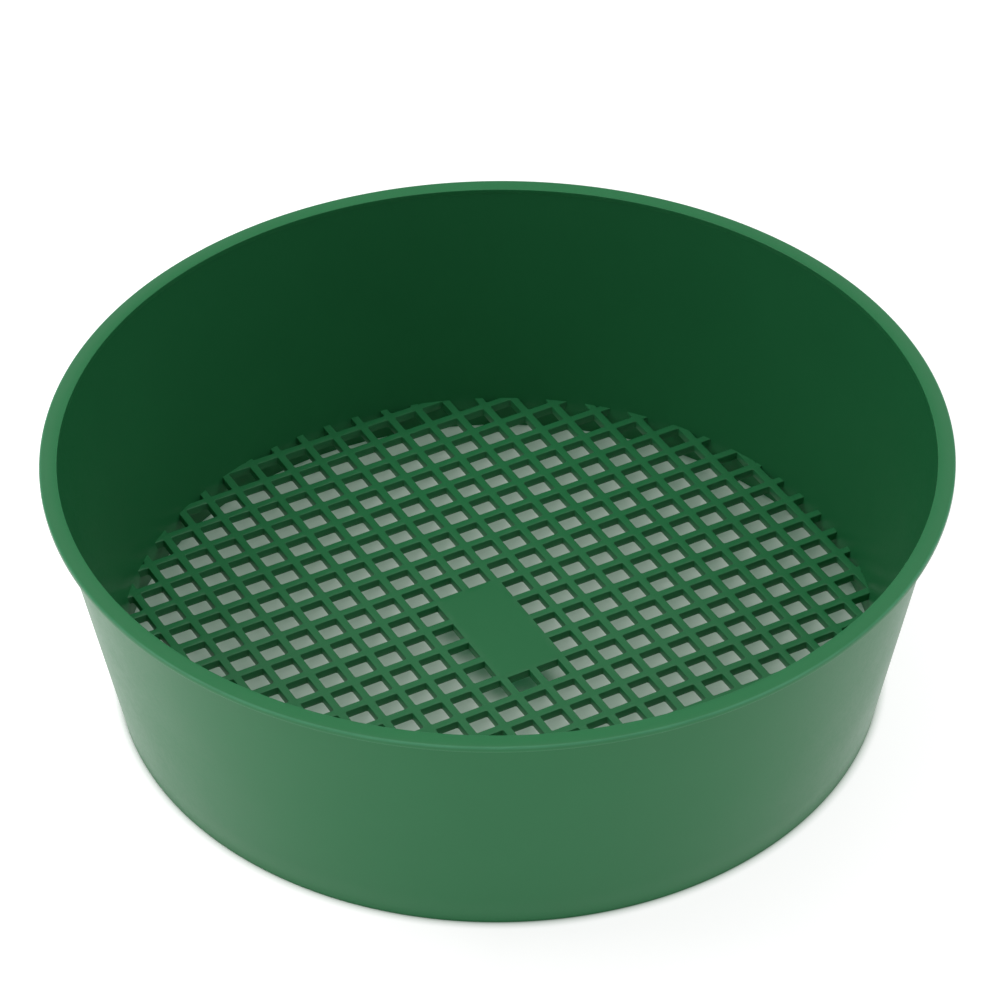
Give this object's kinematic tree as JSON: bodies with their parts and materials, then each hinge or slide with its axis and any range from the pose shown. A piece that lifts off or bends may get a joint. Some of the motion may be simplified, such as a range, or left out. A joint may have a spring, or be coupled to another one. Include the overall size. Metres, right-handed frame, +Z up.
{
  "type": "garden riddle",
  "caption": "Round plastic soil sieve: tapered tub wall with a turned-out rim and a raised square mesh floor with a plain label plate.",
  "frame": {"origin": "middle of the foot ring, on the surface that the riddle stands on", "axes": "+Z up through the open rim, +X along the long side of the label plate and the long ribs, +Y along its short side"},
  "size_m": [0.37, 0.37, 0.115],
  "materials": {
    "green_polypropylene": "satin, finely textured moulded surface"
  },
  "bodies": {
    "root": {"rim_flange": "green_polypropylene", "side_wall": "green_polypropylene", "foot_skirt": "green_polypropylene", "label_plate": "green_polypropylene", "long_rib_01": "green_polypropylene", "long_rib_02": "green_polypropylene", "long_rib_03": "green_polypropylene", "long_rib_04": "green_polypropylene", "long_rib_05": "green_polypropylene", "long_rib_06": "green_polypropylene", "long_rib_07": "green_polypropylene", "long_rib_08": "green_polypropylene", "long_rib_09": "green_polypropylene", "long_rib_10": "green_polypropylene", "long_rib_11": "green_polypropylene", "long_rib_12": "green_polypropylene", "long_rib_13": "green_polypropylene", "long_rib_14": "green_polypropylene", "long_rib_15": "green_polypropylene", "long_rib_16": "green_polypropylene", "long_rib_17": "green_polypropylene", "long_rib_18": "green_polypropylene", "long_rib_19": "green_polypropylene", "long_rib_20": "green_polypropylene", "long_rib_21": "green_polypropylene", "long_rib_22": "green_polypropylene", "long_rib_23": "green_polypropylene", "cross_rib_01": "green_polypropylene", "cross_rib_02": "green_polypropylene", "cross_rib_03": "green_polypropylene", "cross_rib_04": "green_polypropylene", "cross_rib_05": "green_polypropylene", "cross_rib_06": "green_polypropylene", "cross_rib_07": "green_polypropylene", "cross_rib_08": "green_polypropylene", "cross_rib_09": "green_polypropylene", "cross_rib_10": "green_polypropylene", "cross_rib_11": "green_polypropylene", "cross_rib_12": "green_polypropylene", "cross_rib_13": "green_polypropylene", "cross_rib_14": "green_polypropylene", "cross_rib_15": "green_polypropylene", "cross_rib_16": "green_polypropylene", "cross_rib_17": "green_polypropylene", "cross_rib_18": "green_polypropylene", "cross_rib_19": "green_polypropylene", "cross_rib_20": "green_polypropylene", "cross_rib_21": "green_polypropylene", "cross_rib_22": "green_polypropylene", "cross_rib_23": "green_polypropylene"}
  },
  "joints": []
}
